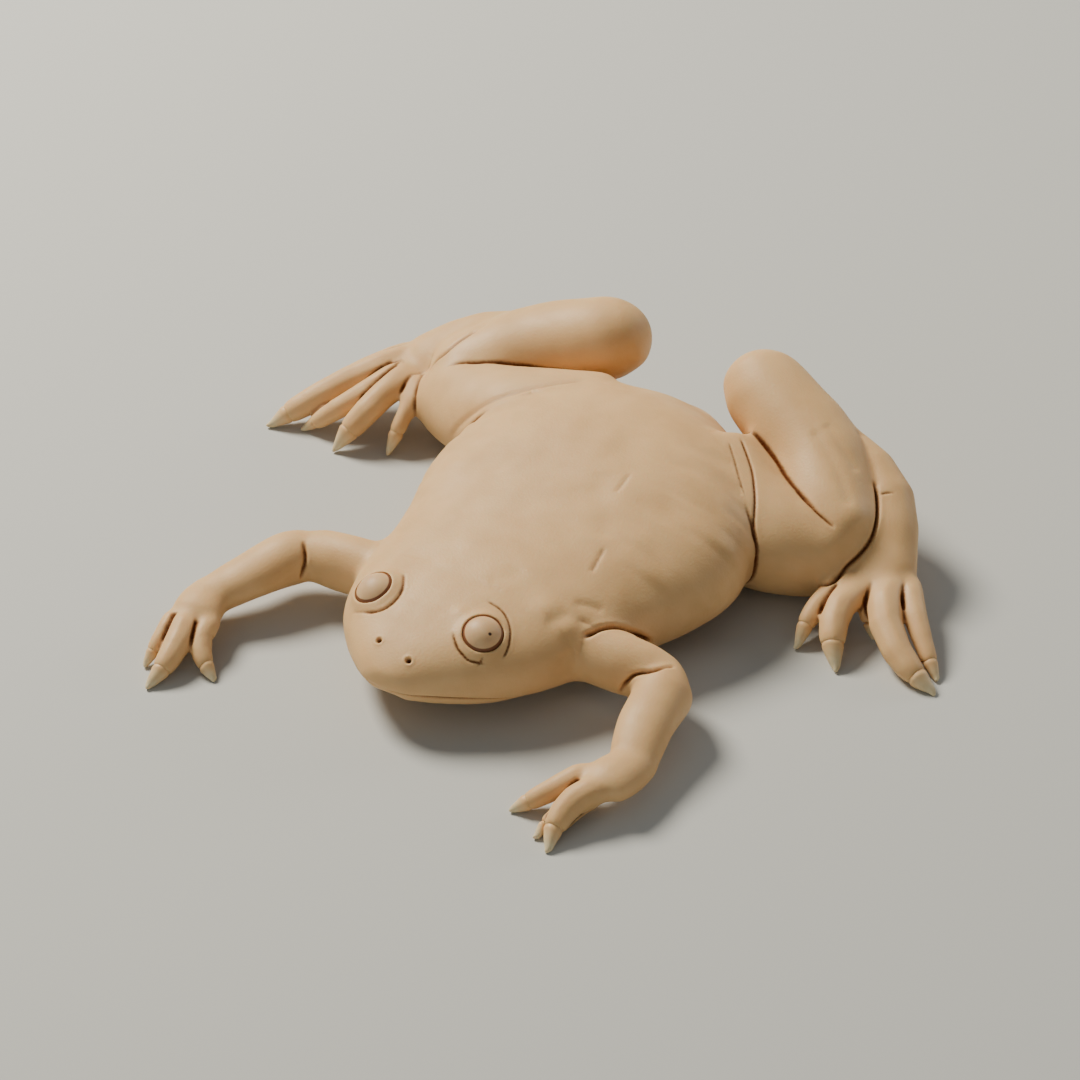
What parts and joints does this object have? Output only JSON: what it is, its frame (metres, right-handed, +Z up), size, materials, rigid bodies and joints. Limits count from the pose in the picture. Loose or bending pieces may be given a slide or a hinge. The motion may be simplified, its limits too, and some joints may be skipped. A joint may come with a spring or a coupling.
{
  "type": "african clawed frog",
  "caption": "Life-size still model of an African clawed frog lying flat on its belly, hind legs folded, hands spread forward, digits tipped with claws.",
  "frame": {"origin": "middle of the flat under the belly, on the surface the frog lies on", "axes": "+X towards the frog's left, across the spread legs; +Y towards its rump; +Z up"},
  "size_m": [0.1406, 0.1152, 0.0279],
  "materials": {
    "skin": "satin",
    "eye": "gloss",
    "claw": "satin"
  },
  "bodies": {
    "root": {"torso": "skin", "head": "skin", "lower_jaw": "skin", "upper_arm_left": "skin", "forearm_left": "skin", "hand_left": "skin", "thigh_left": "skin", "shank_left": "skin", "foot_left": "skin", "upper_arm_right": "skin", "forearm_right": "skin", "hand_right": "skin", "thigh_right": "skin", "shank_right": "skin", "foot_right": "skin", "finger_1_left": "skin", "finger_2_left": "skin", "finger_3_left": "skin", "finger_4_left": "skin", "finger_1_right": "skin", "finger_2_right": "skin", "finger_3_right": "skin", "finger_4_right": "skin", "toe_1_left": "skin", "toe_2_left": "skin", "toe_3_left": "skin", "toe_4_left": "skin", "toe_5_left": "skin", "toe_1_right": "skin", "toe_2_right": "skin", "toe_3_right": "skin", "toe_4_right": "skin", "toe_5_right": "skin", "eye_left": "eye", "eye_right": "eye", "claw_finger_1_left": "claw", "claw_finger_2_left": "claw", "claw_finger_3_left": "claw", "claw_finger_4_left": "claw", "claw_finger_1_right": "claw", "claw_finger_2_right": "claw", "claw_finger_3_right": "claw", "claw_finger_4_right": "claw", "claw_toe_1_left": "claw", "claw_toe_2_left": "claw", "claw_toe_3_left": "claw", "claw_toe_4_left": "claw", "claw_toe_5_left": "claw", "claw_toe_1_right": "claw", "claw_toe_2_right": "claw", "claw_toe_3_right": "claw", "claw_toe_4_right": "claw", "claw_toe_5_right": "claw"}
  },
  "joints": []
}
